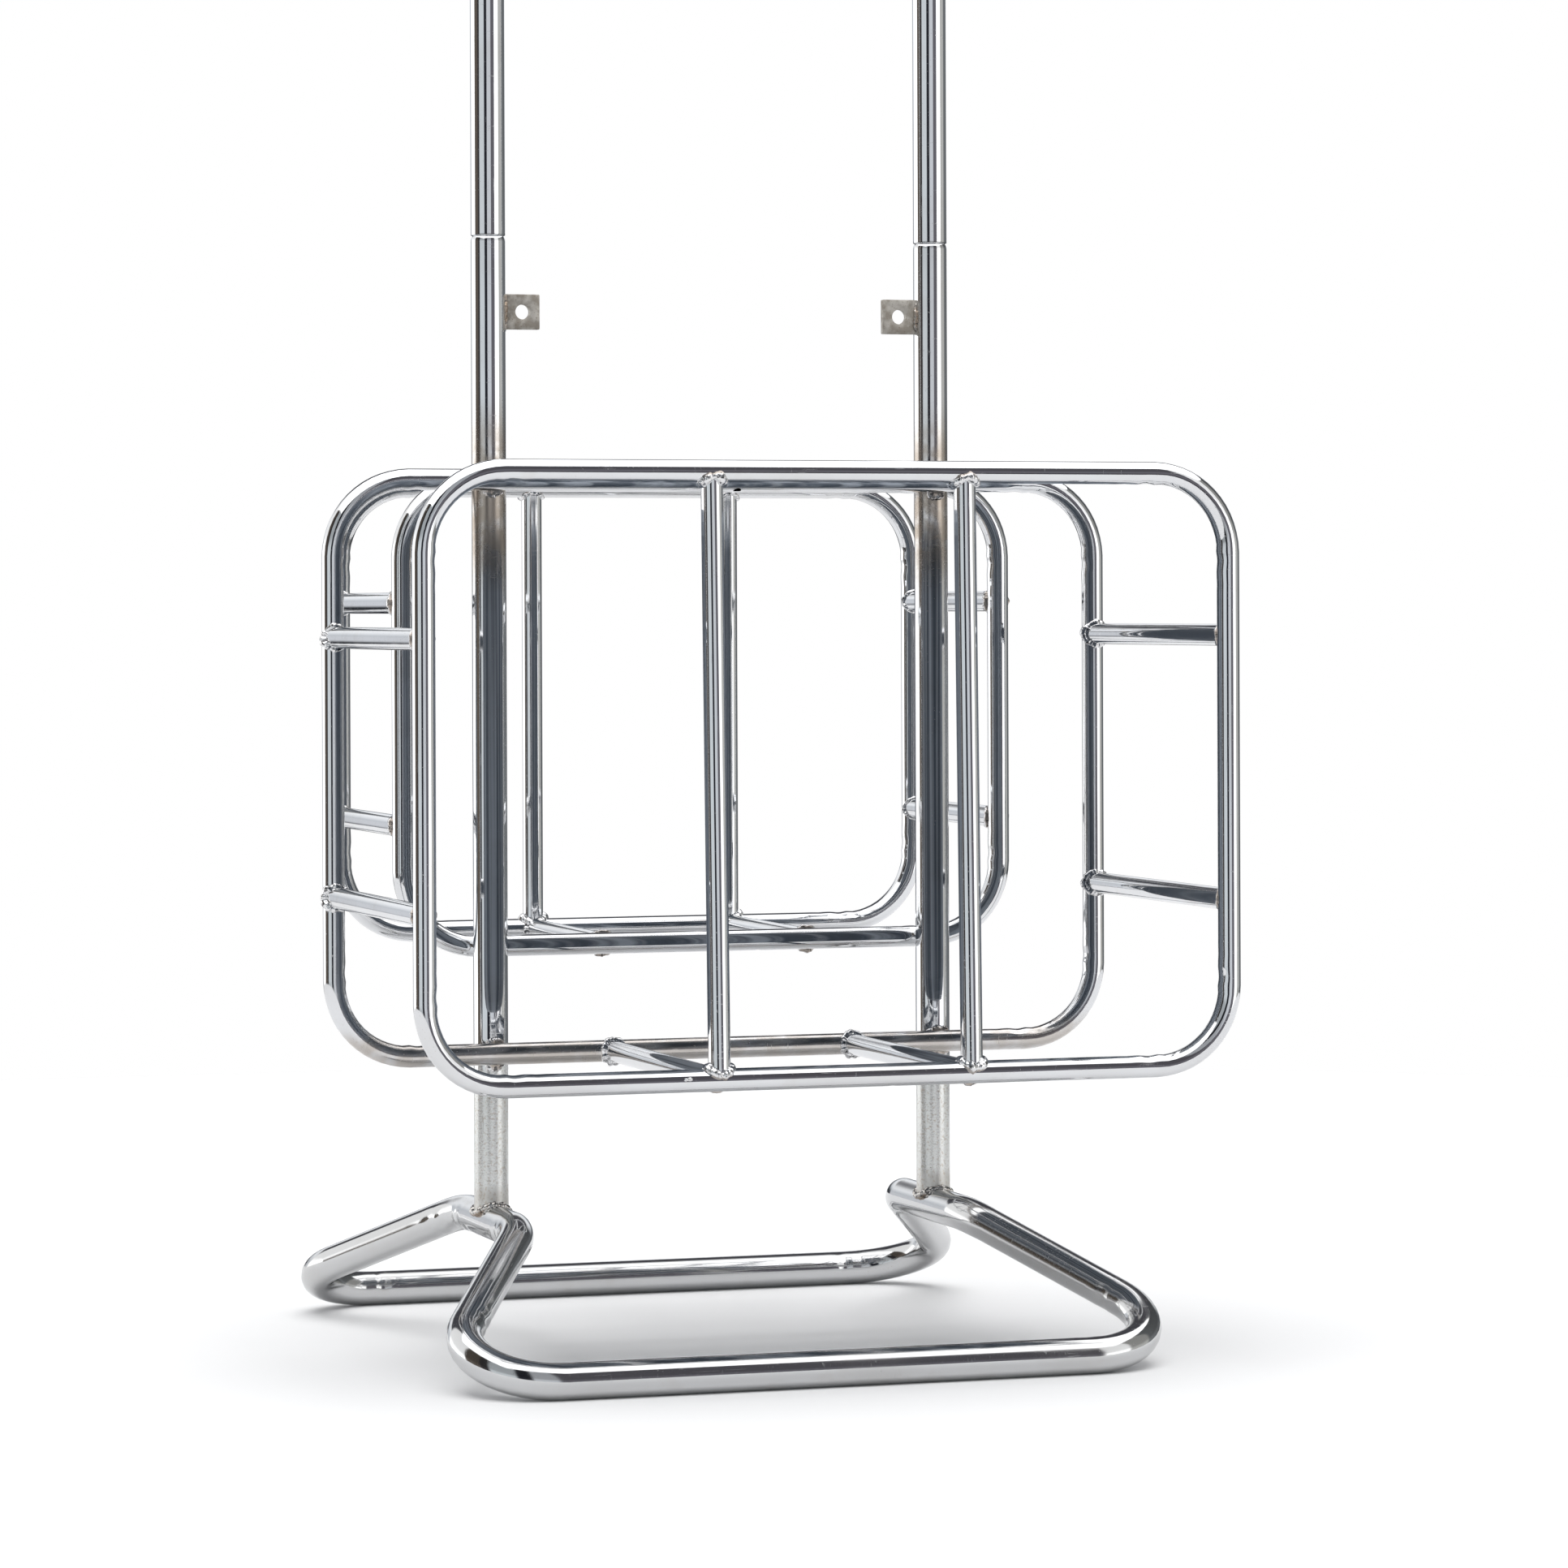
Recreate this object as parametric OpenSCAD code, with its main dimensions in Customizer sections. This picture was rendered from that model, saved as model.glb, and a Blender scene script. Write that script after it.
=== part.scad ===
// Baggage sizer stand: a bent-tube base ring carries two posts, a large open
// gauge cage in front of the posts, a smaller one behind them, and a lift-off
// sign frame on top.  Millimetres; X to the right, Y to the back, Z up.

/* [Tube stock] */
// outside diameter of the posts and of the sign frame tube
post_od = 25.4; // [22:0.1:32]
// outside diameter of the base ring tube
base_od = 26; // [22.5:0.1:32]
// wall thickness of the posts, the base ring and the sign frame
heavy_wall = 1.6; // [1.2:0.1:2.2]
// outside diameter of the cage loops
loop_od = 16; // [13:0.1:20]
// outside diameter of the straight cage bars
bar_od = 15.6; // [12:0.1:19.4]
// wall thickness of the cage tubes
cage_wall = 1.5; // [1:0.1:2.5]

/* [Base ring] */
// overall length of the base along X, over the corner points of the tube line
base_w = 577; // [480:1:720]
// distance between the centrelines of the front and back floor tubes
base_d = 549; // [440:1:680]
// height of the centreline of the two raised stretches that carry the posts
saddle_z = 93.5; // [60:0.5:150]
// length of the raised stretches along Y, between the corner points of the tube line
saddle_len = 160; // [120:1:260]
// centreline bend radius of the four corners on the floor
floor_bend_r = 54; // [42:1:64]
// centreline bend radius of the four corners of the raised stretches
saddle_bend_r = 62; // [40:1:90]

/* [Posts and sign frame] */
// distance between the centrelines of the two posts
post_gap = 346; // [290:1:400]
// height of the shoulder where the sign frame stands on the posts
joint_z = 821; // [760:1:980]
// length of the spigot that the sign frame slides over
spigot_len = 80; // [50:1:120]
// overall height of the stand
total_h = 1280; // [1100:1:1600]
// centreline bend radius of the two upper corners of the sign frame
frame_bend_r = 60; // [40:1:80]

/* [Sign tabs] */
// side length of the square sign tabs
tab_size = 26; // [22:0.5:36]
// thickness of the sign tabs
tab_t = 5; // [3:0.5:8]
// diameter of the screw hole in a tab
tab_hole_d = 11; // [6:0.5:13]
// height of the holes in the lower pair of tabs
tab_low_z = 765; // [700:1:785]
// distance between the holes of the lower and the upper pair of tabs
tab_rise = 420; // [150:1:440]

/* [Carry-on cage] */
// overall width of the carry-on cage
carry_w = 608; // [500:1:700]
// overall height of the cage loops
carry_h = 438; // [360:1:520]
// clear depth between the front loop and the rear loop
carry_inner_d = 252; // [180:1:320]
// height of the top of both cages above the floor
cage_top_z = 648.4; // [560:0.1:740]
// centreline bend radius of the loop corners
loop_bend_r = 56; // [40:1:70]
// distance between the two uprights on the front loop
front_bar_gap = 186; // [120:1:300]
// how far the pair of uprights sits to the right of the middle
front_bar_shift = 5; // [0:1:20]
// sideways lean of the uprights over their height, as welded
front_bar_lean = 4; // [0:0.5:8]
// height of the upper side bars above the floor
side_bar_high_z = 525; // [470:1:570]
// height of the lower side bars above the floor
side_bar_low_z = 336; // [290:1:400]

/* [Personal item cage] */
// overall width of the personal item cage
personal_w = 484; // [400:1:560]
// overall height of the personal item cage
personal_h = 361; // [300:1:430]
// clear depth between its inner and its outer loop
personal_inner_d = 184; // [140:1:260]
// distance between the two uprights on its outer loop
outer_bar_gap = 160; // [100:1:240]
// height of its upper side bars above the floor
personal_bar_high_z = 550; // [500:1:580]
// height of its lower side bars above the floor
personal_bar_low_z = 385; // [350:1:430]

/* [Welds and openings] */
// how far a weld bead stands out from the tubes it joins
bead = 2.2; // [1:0.1:3.5]
// diameter of the drain holes in the closed tube loops
drain_d = 6; // [3:0.5:8]

/* [Hidden] */
$fn = 96;

// fits
seat_bite = 0.7;        // depth of the shallow saddle where a loop meets a post
spigot_gap = 0.3;       // radial play between the spigot and the sign frame bore
shoulder = 1.9;         // how far the post is rounded in under the sign frame
shoulder_rise = 4.5;    // height over which it is rounded
spigot_chamfer = 2;     // lead-in on top of the spigot
neck = 14;              // length of the necked-down part inside the post
bend_thin = 0.05;       // thinning of each side of the wall in the base bends
bend_lap = 0.5;         // overlap of the straight lengths with those bends
neck_taper = 6;         // height over which the wall of the post eases into the neck
tab_lap = 2;            // how far a tab runs into the post before it is coped
floor_bead = 0.85;      // bead of a floor bar, as a share of the other beads
bead_spread = 1.7;      // how far a bead spreads over the loop, in beads on the diameter
foot_rise = 3;          // the same for a foot bead, over the post
foot_spread = 1.8;      // the same for a foot bead, over the base ring
tab_bead = 2.6;         // thickness of a tab bead, in beads
base_drain_x = 60;      // drain holes of the base ring, to each side of the middle
loop_drain_x = 40;      // drain hole in the bottom tube of a loop, from the middle
rear_drain_x = 12;      // drain hole in the top tube of the rear loop, from the middle
rear_drain_tilt = 22;   // how far that hole is turned to the front, in degrees
reach = 30;             // half length of the rods that shape a bead
far = 2 * reach;        // length of the rods that cut
over = 1;               // how far a cut runs past a face

post_r = post_od / 2;
post_bore = post_od - 2 * heavy_wall;
base_bore = base_od - 2 * heavy_wall;
loop_r = loop_od / 2;
loop_bore = loop_od - 2 * cage_wall;
bar_r = bar_od / 2;
bar_bore = bar_od - 2 * cage_wall;
post_x = post_gap / 2;
spigot_r = post_bore / 2 - spigot_gap;

// planes of the four loops
seat_y = post_r + loop_r - seat_bite;
rear_y = -seat_y;
front_y = rear_y - carry_inner_d - loop_od;
inner_y = seat_y;
outer_y = inner_y + personal_inner_d + loop_od;

// centreline extents of the loops
carry_x = (carry_w - loop_od) / 2;
top_z = cage_top_z - loop_r;
carry_z = cage_top_z - carry_h + loop_r;
personal_x = (personal_w - loop_od) / 2;
personal_z = cage_top_z - personal_h + loop_r;
tab_x = post_x - post_r - tab_size / 2;
tab_high_z = tab_low_z + tab_rise;

// the origin is the middle of the overall depth: the posts stand this far behind it
depth_shift = -((front_y - loop_r - bead_spread / 2 * bead) + (base_d + base_od) / 2) / 2;

chrome = [0.80, 0.81, 0.83];
dull = [0.55, 0.52, 0.48];

// ---------------------------------------------------------------- geometry
function unit(v) = v / norm(v);
function turn(a, b) = acos(a * b);
function pick(list, i) = list[(i + len(list)) % len(list)];

// orthonormal placement: columns x, y, z and the origin o
function placed(x, y, z, o) = [[x[0], y[0], z[0], o[0]], [x[1], y[1], z[1], o[1]],
    [x[2], y[2], z[2], o[2]], [0, 0, 0, 1]];

// a solid round bar from a to b
module rod(a, b, d) {
    translate(a)
        rotate([0, acos((b - a)[2] / norm(b - a)), atan2((b - a)[1], (b - a)[0])])
            cylinder(d = d, h = norm(b - a));
}

// a straight tube from a to b
module pipe(a, b, d, bore) {
    difference() {
        rod(a, b, d);
        rod(a - over * unit(b - a), b + over * unit(b - a), bore);
    }
}

// the bend that rounds corner p1 between p0 and p2
module bend(p0, p1, p2, r, d, bore) {
    a = unit(p1 - p0);
    b = unit(p2 - p1);
    t = turn(a, b);
    start = p1 - a * r * tan(t / 2);
    side = unit(b - a * (a * b));
    centre = start + side * r;
    multmatrix(placed(-side, a, -cross(side, a), centre))
        rotate_extrude(angle = t)
            translate([r, 0])
                difference() {
                    circle(d = d);
                    circle(d = bore);
                }
}

// a bent tube along the corner points; radii holds one bend radius per corner.
// The wall is a little thinner in the bends, and the straight lengths lap them.
module bent_tube(points, radii, d, bore, closed = true) {
    n = len(points);
    for (i = [0 : n - (closed ? 1 : 2)]) {
        p = points[i];
        q = pick(points, i + 1);
        u = unit(q - p);
        cut_p = (closed || i > 0)
            ? radii[i] * tan(turn(unit(p - pick(points, i - 1)), u) / 2) : 0;
        cut_q = (closed || i < n - 2)
            ? pick(radii, i + 1) * tan(turn(u, unit(pick(points, i + 2) - q)) / 2) : 0;
        pipe(p + u * max(cut_p - bend_lap, 0), q - u * max(cut_q - bend_lap, 0), d, bore);
    }
    for (i = [(closed ? 0 : 1) : n - (closed ? 1 : 2)])
        bend(pick(points, i - 1), points[i], pick(points, i + 1), radii[i],
            d - 2 * bend_thin, bore + 2 * bend_thin);
}

// corner points of an upright rectangular loop in the plane y
function loop_points(x, y, low, high) =
    [[-x, y, low], [x, y, low], [x, y, high], [-x, y, high]];

module loop(x, y, low) {
    bent_tube(loop_points(x, y, low, top_z), [for (i = [0:3]) loop_bend_r],
        loop_od, loop_bore);
}

// a straight bar coped onto the two tubes it runs between
module coped_bar(a, b, axis) {
    difference() {
        pipe(a, b, bar_od, bar_bore);
        for (p = [a, b])
            rod(p - axis * far, p + axis * far, loop_od);
    }
}

// material for the bead of a coped end: p on the loop tube axis, out along the bar
module bead_ring(p, out, axis, size) {
    intersection() {
        rod(p, p + out * reach, bar_od + 2 * size);
        rod(p - axis * reach, p + axis * reach, loop_od + bead_spread * size);
    }
}

// the bead around a coped end
module end_bead(p, out, axis) {
    difference() {
        bead_ring(p, out, axis, bead);
        rod(p - axis * far, p + axis * far, loop_od);
        rod(p - over * out, p + out * far, bar_od);
    }
}

// the bead where an upright and a floor bar share one place on the bottom tube
module corner_bead(p, up, back) {
    difference() {
        union() {
            bead_ring(p, up, [1, 0, 0], bead);
            bead_ring(p, back, [1, 0, 0], bead * floor_bead);
        }
        rod(p - [far, 0, 0], p + [far, 0, 0], loop_od);
        rod(p - over * up, p + up * far, bar_od);
        rod(p - over * back, p + back * far, bar_od);
    }
}

// the bead around the crossing of a post and a horizontal loop tube
module crossing_bead(x, y, z) {
    difference() {
        intersection() {
            rod([x, 0, z - reach], [x, 0, z + reach], post_od + 2 * bead);
            rod([x - reach, y, z], [x + reach, y, z], loop_od + 2 * bead);
        }
        rod([x, 0, z - far], [x, 0, z + far], post_od);
        rod([x - far, y, z], [x + far, y, z], loop_od);
    }
}

// ---------------------------------------------------------------- base, posts
base_points = [[-base_w / 2, -base_d / 2, base_od / 2], [base_w / 2, -base_d / 2, base_od / 2],
    [post_x, -saddle_len / 2, saddle_z], [post_x, saddle_len / 2, saddle_z],
    [base_w / 2, base_d / 2, base_od / 2], [-base_w / 2, base_d / 2, base_od / 2],
    [-post_x, saddle_len / 2, saddle_z], [-post_x, -saddle_len / 2, saddle_z]];
base_radii = [floor_bend_r, floor_bend_r, saddle_bend_r, saddle_bend_r,
    floor_bend_r, floor_bend_r, saddle_bend_r, saddle_bend_r];

module base_ring() {
    color(chrome)
        difference() {
            bent_tube(base_points, base_radii, base_od, base_bore);
            for (s = [-1, 1])
                rod([s * base_drain_x, s * base_d / 2, -over],
                    [s * base_drain_x, s * base_d / 2, base_od / 2], drain_d);
        }
}

// profile of a post from the base ring up to the tip of its spigot
post_profile = concat(
    [[post_bore / 2, saddle_z], [post_r, saddle_z]],
    [for (a = [0 : 30 : 90])
        [post_r - shoulder + shoulder * cos(a), joint_z - shoulder_rise + shoulder_rise * sin(a)]],
    [[spigot_r, joint_z], [spigot_r, joint_z + spigot_len - spigot_chamfer],
     [spigot_r - spigot_chamfer / 2, joint_z + spigot_len],
     [spigot_r - heavy_wall, joint_z + spigot_len], [spigot_r - heavy_wall, joint_z - neck],
     [post_bore / 2, joint_z - neck - neck_taper]]);

module post(side) {
    color(chrome)
        difference() {
            translate([side * post_x, 0, 0])
                rotate_extrude()
                    polygon(post_profile);
            rod([side * post_x, -far, saddle_z], [side * post_x, far, saddle_z], base_od);
        }
}

module sign_frame() {
    color(chrome)
        bent_tube([[-post_x, 0, joint_z], [-post_x, 0, total_h - post_r],
            [post_x, 0, total_h - post_r], [post_x, 0, joint_z]],
            [0, frame_bend_r, frame_bend_r, 0], post_od, post_bore, false);
}

// a square tab on the inner side of a post, coped to the tube
module sign_tab(side, z) {
    color(dull)
        difference() {
            translate([side * (tab_x + tab_lap / 2), 0, z])
                cube([tab_size + tab_lap, tab_t, tab_size], center = true);
            rod([side * post_x, 0, z - tab_size], [side * post_x, 0, z + tab_size], post_od);
            rod([side * tab_x, -tab_t, z], [side * tab_x, tab_t, z], tab_hole_d);
        }
}

// a bead on each face of the tab, along the post
module tab_beads(side, z) {
    for (f = [-1, 1])
        difference() {
            intersection() {
                rod([side * post_x, 0, z - tab_size / 2 + over],
                    [side * post_x, 0, z + tab_size / 2 - over], post_od + 2 * bead);
                rod([side * (post_x - post_r), f * tab_t / 2, z - tab_size],
                    [side * (post_x - post_r), f * tab_t / 2, z + tab_size], tab_bead * bead);
            }
            rod([side * post_x, 0, z - tab_size], [side * post_x, 0, z + tab_size], post_od);
            translate([side * (post_x - post_r), 0, z])
                cube([far, tab_t, 2 * tab_size], center = true);
        }
}

module foot_beads() {
    for (s = [-1, 1])
        difference() {
            intersection() {
                rod([s * post_x, 0, saddle_z], [s * post_x, 0, saddle_z + reach],
                    post_od + foot_rise * bead);
                rod([s * post_x, -reach, saddle_z], [s * post_x, reach, saddle_z],
                    base_od + foot_spread * bead);
            }
            rod([s * post_x, -far, saddle_z], [s * post_x, far, saddle_z], base_od);
            rod([s * post_x, 0, saddle_z - over], [s * post_x, 0, saddle_z + far], post_od);
        }
}

// ---------------------------------------------------------------- cages
// a loop with the shallow saddles in which it sits on the two posts
module seated_loop(x, y, low) {
    difference() {
        loop(x, y, low);
        for (s = [-1, 1])
            rod([s * post_x, 0, low - reach], [s * post_x, 0, top_z + reach], post_od);
    }
}

// its children with a drain hole in the underside, tilted to the front
module drilled(x, y, z, tilt = 0) {
    difference() {
        children();
        rod([x, y, z], [x, y, z] - loop_od * [0, sin(tilt), cos(tilt)], drain_d);
    }
}

// an upright of the front loop; side -1 is the left one
module carry_on_upright(side) {
    x = front_bar_shift + side * front_bar_gap / 2;
    color(chrome)
        coped_bar([x + front_bar_lean / 2, front_y, carry_z],
            [x - front_bar_lean / 2, front_y, top_z], [1, 0, 0]);
}

function front_foot_x(side) = front_bar_shift + side * front_bar_gap / 2 + front_bar_lean / 2;

// a floor bar from the foot of an upright in the plane y1 to the plane y2,
// notched for that upright; lean is how far the upright leans over its height
module floor_bar(x, y1, y2, z, lean = 0) {
    foot = [x, y1, z];
    color(chrome)
        difference() {
            coped_bar(foot, [x, y2, z], [1, 0, 0]);
            rod(foot, foot + unit([-lean, 0, top_z - z]) * far, bar_od);
        }
}

module side_bar(x, y1, y2, z) {
    color(chrome) coped_bar([x, y1, z], [x, y2, z], [0, 0, 1]);
}

module personal_upright(side) {
    color(chrome)
        coped_bar([side * outer_bar_gap / 2, outer_y, personal_z],
            [side * outer_bar_gap / 2, outer_y, top_z], [1, 0, 0]);
}

// all beads of one cage; the uprights stand on the loop in the plane y1 and the
// floor bars and side bars run from there to the plane y2
module cage_beads(y1, y2, low, x, foot_x, lean, bar_z) {
    inward = [0, sign(y2 - y1), 0];
    for (fx = foot_x) {
        up = unit([-lean, 0, top_z - low]);
        corner_bead([fx, y1, low], up, inward);
        end_bead([fx - lean, y1, top_z], -up, [1, 0, 0]);
        end_bead([fx, y2, low], -inward, [1, 0, 0]);
    }
    for (side = [-1, 1], z = bar_z) {
        end_bead([side * x, y1, z], inward, [0, 0, 1]);
        end_bead([side * x, y2, z], -inward, [0, 0, 1]);
    }
}

module mount_beads(y, low) {
    for (s = [-1, 1], z = [low, top_z])
        crossing_bead(s * post_x, y, z);
}

// every node is drawn with the posts in the plane y = 0 and then set back
module seat() {
    translate([0, depth_shift, 0]) children();
}

seat() base_ring();
seat() post(-1);  // left_post
seat() post(1);  // right_post
seat() sign_tab(-1, tab_low_z);  // left_sign_tab
seat() sign_tab(1, tab_low_z);  // right_sign_tab
seat() sign_frame();
seat() sign_tab(-1, tab_high_z);  // upper_left_sign_tab
seat() sign_tab(1, tab_high_z);  // upper_right_sign_tab

seat() color(chrome) drilled(loop_drain_x, front_y, carry_z) loop(carry_x, front_y, carry_z);  // carry_on_front_loop
seat() color(chrome) drilled(rear_drain_x, rear_y, top_z, rear_drain_tilt)  // carry_on_rear_loop
        seated_loop(carry_x, rear_y, carry_z);
seat() carry_on_upright(-1);  // carry_on_left_upright
seat() carry_on_upright(1);  // carry_on_right_upright
seat() floor_bar(front_foot_x(-1), front_y, rear_y, carry_z, front_bar_lean);  // carry_on_left_floor_bar
seat() floor_bar(front_foot_x(1), front_y, rear_y, carry_z, front_bar_lean);  // carry_on_right_floor_bar
seat() side_bar(-carry_x, front_y, rear_y, side_bar_high_z);  // carry_on_left_high_bar
seat() side_bar(-carry_x, front_y, rear_y, side_bar_low_z);  // carry_on_left_low_bar
seat() side_bar(carry_x, front_y, rear_y, side_bar_high_z);  // carry_on_right_high_bar
seat() side_bar(carry_x, front_y, rear_y, side_bar_low_z);  // carry_on_right_low_bar

seat() color(chrome) drilled(loop_drain_x, inner_y, personal_z)  // personal_inner_loop
        seated_loop(personal_x, inner_y, personal_z);
seat() color(chrome) drilled(loop_drain_x, outer_y, personal_z)  // personal_outer_loop
        loop(personal_x, outer_y, personal_z);
seat() personal_upright(-1);  // personal_left_upright
seat() personal_upright(1);  // personal_right_upright
seat() floor_bar(-outer_bar_gap / 2, outer_y, inner_y, personal_z);  // personal_left_floor_bar
seat() floor_bar(outer_bar_gap / 2, outer_y, inner_y, personal_z);  // personal_right_floor_bar
seat() side_bar(-personal_x, inner_y, outer_y, personal_bar_high_z);  // personal_left_high_bar
seat() side_bar(-personal_x, inner_y, outer_y, personal_bar_low_z);  // personal_left_low_bar
seat() side_bar(personal_x, inner_y, outer_y, personal_bar_high_z);  // personal_right_high_bar
seat() side_bar(personal_x, inner_y, outer_y, personal_bar_low_z);  // personal_right_low_bar

seat() color(dull) foot_beads();  // post_foot_welds
seat() color(chrome) mount_beads(rear_y, carry_z);  // carry_on_mount_welds
seat() color(chrome) mount_beads(inner_y, personal_z);  // personal_mount_welds
seat() color(chrome) cage_beads(front_y, rear_y, carry_z, carry_x,  // carry_on_welds
        [front_foot_x(-1), front_foot_x(1)], front_bar_lean,
        [side_bar_low_z, side_bar_high_z]);
seat() color(chrome) cage_beads(outer_y, inner_y, personal_z, personal_x,  // personal_welds
        [-outer_bar_gap / 2, outer_bar_gap / 2], 0,
        [personal_bar_low_z, personal_bar_high_z]);
seat() color(dull) for (s = [-1, 1]) tab_beads(s, tab_low_z);  // tab_welds
seat() color(dull) for (s = [-1, 1]) tab_beads(s, tab_high_z);  // upper_tab_welds
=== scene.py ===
"""Baggage sizer stand of chromed tube: bent tubes, lumpy weld beads and a plain studio.

A bent base ring carries two posts.  A large open cage hangs in front of the posts, a
smaller one behind them, and a sign frame slides over spigots on top of the posts.
Sizes are in metres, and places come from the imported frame.
"""

import logging
import math
from collections.abc import Callable, Iterable, Sequence
from dataclasses import dataclass, field
from enum import Enum

import bmesh
import bpy
from mathutils import Euler, Matrix, Vector, noise


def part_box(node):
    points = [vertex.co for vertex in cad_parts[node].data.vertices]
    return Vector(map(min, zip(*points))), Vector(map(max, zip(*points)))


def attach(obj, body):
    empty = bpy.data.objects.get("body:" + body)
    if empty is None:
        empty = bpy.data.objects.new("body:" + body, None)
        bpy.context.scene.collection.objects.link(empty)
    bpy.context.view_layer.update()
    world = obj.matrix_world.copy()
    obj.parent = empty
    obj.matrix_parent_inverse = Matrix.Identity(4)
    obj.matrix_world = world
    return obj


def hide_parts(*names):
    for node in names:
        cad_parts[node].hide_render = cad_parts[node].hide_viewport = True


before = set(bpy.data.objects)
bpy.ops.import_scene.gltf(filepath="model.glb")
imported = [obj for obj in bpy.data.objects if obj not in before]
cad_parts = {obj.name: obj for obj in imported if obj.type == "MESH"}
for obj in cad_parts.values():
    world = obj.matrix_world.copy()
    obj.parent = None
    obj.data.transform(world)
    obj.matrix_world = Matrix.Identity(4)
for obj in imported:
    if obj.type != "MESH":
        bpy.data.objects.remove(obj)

log = logging.getLogger("sizer")

MM = 0.001
SADDLE_HEIGHT = 93.5 * MM  # the axis of the base ring's raised stretches
X, Y, Z = Vector((1, 0, 0)), Vector((0, 1, 0)), Vector((0, 0, 1))
Piece, Material, Socket = bpy.types.Object, bpy.types.Material, bpy.types.NodeSocket


class Body(Enum):
    """The two bodies that pieces ride on."""

    STAND = "stand"
    SIGN_FRAME = "sign_frame_body"


class Slot(Enum):
    """The record's material slots."""

    CHROME = "chrome"
    TAB_STEEL = "tab_steel"
    WELD = "weld"


# ---- places


def corners_of(node: str) -> tuple[Vector, Vector]:
    """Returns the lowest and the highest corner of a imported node's box."""
    low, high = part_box(node)
    return Vector(low), Vector(high)


def middle(node: str) -> Vector:
    """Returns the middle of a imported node's box."""
    low, high = corners_of(node)
    return (low + high) / 2


# ---- the bench


@dataclass(frozen=True)
class Stock:
    """A tube stock: its outside radius, its wall and the sides of its ring."""

    radius: float
    wall: float
    sides: int = 64


HEAVY_POST = Stock(12.7 * MM, 1.6 * MM)
HEAVY_BASE = Stock(13.0 * MM, 1.6 * MM)
LOOP = Stock(8.0 * MM, 1.5 * MM)
BAR = Stock(7.8 * MM, 1.5 * MM)
SNUG = 0.86  # how closely a coped end follows the tube that it is welded to
BITE = 0.2 * MM  # how far a coped end goes into that tube


@dataclass(frozen=True)
class Bend:
    """One bend of a tube: where it starts, what it turns about and how far."""

    start: Vector
    centre: Vector
    axis: Vector
    angle: float
    end: Vector
    along: Vector

    @classmethod
    def at(cls, before: Vector, corner: Vector, after: Vector, radius: float) -> "Bend":
        """Fits a bend into a corner of a tube line.

        Args:
            before: The corner point before this one.
            corner: The corner point that the bend rounds.
            after: The corner point after this one.
            radius: The bend radius of the centreline.

        Returns:
            The bend.
        """
        a, b = (corner - before).normalized(), (after - corner).normalized()
        angle = a.angle(b)
        cut = radius * math.tan(angle / 2)
        side = (b - a * a.dot(b)).normalized()
        start = corner - a * cut
        return cls(start, start + side * radius, a.cross(side), angle, corner + b * cut, a)


def alone(piece: Piece) -> Piece:
    """Selects one piece and nothing else, and returns it."""
    bpy.ops.object.select_all(action="DESELECT")
    piece.select_set(True)
    bpy.context.view_layer.objects.active = piece
    return piece


def settle(piece: Piece) -> Piece:
    """Moves a piece's place into its mesh, and returns the piece."""
    alone(piece)
    bpy.ops.object.transform_apply(location=True, rotation=True, scale=True)
    return piece


def begin(
    add: Callable, name: str = "", scale: Sequence[float] = (1, 1, 1), **how: object
) -> Piece:
    """Adds a primitive at its size and place, and returns it settled.

    Args:
        add: The operator that adds it.
        name: The name of the piece, if it keeps one.
        scale: Its scale along X, Y and Z.
        how: The operator's own settings.
    """
    bpy.ops.object.select_all(action="DESELECT")
    add(**how)
    piece = bpy.context.active_object
    piece.name = name or piece.name
    piece.scale = scale
    return settle(piece)


def aim(along: Vector) -> Euler:
    """Returns the rotation that turns Z along a direction."""
    return along.to_track_quat("Z", "Y").to_euler()


def modify(piece: Piece, kind: str, **settings: object) -> None:
    """Gives a piece one modifier with some settings, and applies it."""
    modifier = piece.modifiers.new(kind, kind)
    for name, value in settings.items():
        setattr(modifier, name, value)
    alone(piece)
    bpy.ops.object.modifier_apply(modifier=modifier.name)


def join(pieces: Sequence[Piece], name: str) -> Piece:
    """Joins pieces into one of a name, and returns it."""
    bpy.ops.object.select_all(action="DESELECT")
    for piece in pieces:
        piece.select_set(True)
    bpy.context.view_layer.objects.active = pieces[0]
    if len(pieces) > 1:
        bpy.ops.object.join()
    pieces[0].name = name
    return pieces[0]


def round_rims(piece: Piece, width: float) -> None:
    """Breaks the sharp edges of a piece."""
    sharp = {"limit_method": "ANGLE", "angle_limit": math.radians(60)}
    modify(piece, "BEVEL", width=width, segments=2, **sharp)


def faces_out(piece: Piece) -> None:
    """Merges doubles and turns all faces of a closed piece outwards."""
    alone(piece)
    bpy.ops.object.mode_set(mode="EDIT")
    bpy.ops.mesh.select_all(action="SELECT")
    bpy.ops.mesh.remove_doubles(threshold=0.01 * MM)
    bpy.ops.mesh.normals_make_consistent(inside=False)
    bpy.ops.object.mode_set(mode="OBJECT")


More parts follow.
